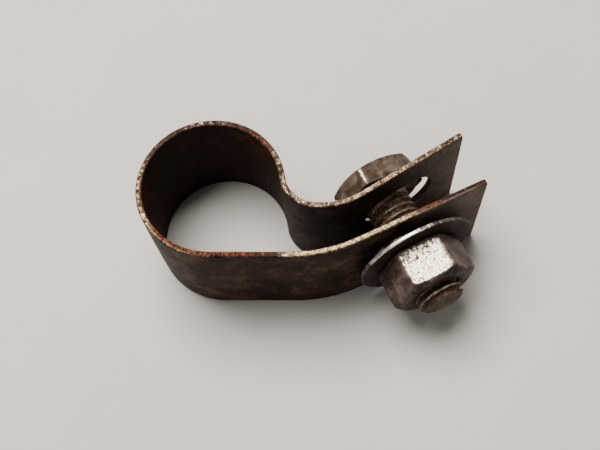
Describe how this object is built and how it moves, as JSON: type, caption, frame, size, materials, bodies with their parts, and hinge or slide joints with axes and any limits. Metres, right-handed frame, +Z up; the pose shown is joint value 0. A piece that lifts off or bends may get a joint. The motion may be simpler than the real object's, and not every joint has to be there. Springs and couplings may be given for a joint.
{
  "type": "bolted pipe clip",
  "caption": "P-shaped strap clip: a bent steel strip with a round loop for a pipe and two slotted ears, pulled together by a hexagon bolt, a flat washer and a nut.",
  "frame": {"origin": "middle of the whole clip, on the surface that it stands on", "axes": "+X from the loop towards the tips of the ears, +Z up across the width of the strip, -Y along the bolt towards its nut"},
  "size_m": [0.0644, 0.0528, 0.026],
  "materials": {
    "strap": "dark brown patina, worn to bare steel along its cut edges",
    "bolt": "dark steel with a rusty thread",
    "washer": "dull zinc gone grey",
    "nut": "dull grey steel, bright and pitted on one flat"
  },
  "bodies": {
    "rear_leg": {"strap_rear_leg": "strap"},
    "front_leg": {"strap_front_leg": "strap"},
    "bolt": {"hex_bolt": "bolt"},
    "washer": {"flat_washer": "washer"},
    "nut": {"hex_nut": "nut"}
  },
  "joints": [
    {"name": "clip_flex", "type": "hinge", "parent": "rear_leg", "child": "front_leg", "pos_m": [-0.03153, 0.01166, 0.013], "axis": [0, 0, -1], "range_deg": [-6.8, 2.17]},
    {"name": "bolt_travel", "type": "slide", "parent": "front_leg", "child": "bolt", "axis": [0, -1, 0], "range_m": [-0.00209, 0.00655]},
    {"name": "washer_travel", "type": "slide", "parent": "front_leg", "child": "washer", "axis": [0, -1, 0], "range_m": [-0.0016, 0.00051]},
    {"name": "nut_turn", "type": "hinge", "parent": "washer", "child": "nut", "pos_m": [0.01508, -0.0196, 0.0126], "axis": [0, -1, 0], "range_deg": [-1956.5, 624]}
  ],
  "couplings": [
    {"joint": "clip_flex", "follows": "nut_turn", "ratio": 0.0034756},
    {"joint": "washer_travel", "follows": "nut_turn", "m_per_rad": 0.000046885},
    {"joint": "bolt_travel", "follows": "nut_turn", "m_per_rad": -0.00019185}
  ]
}
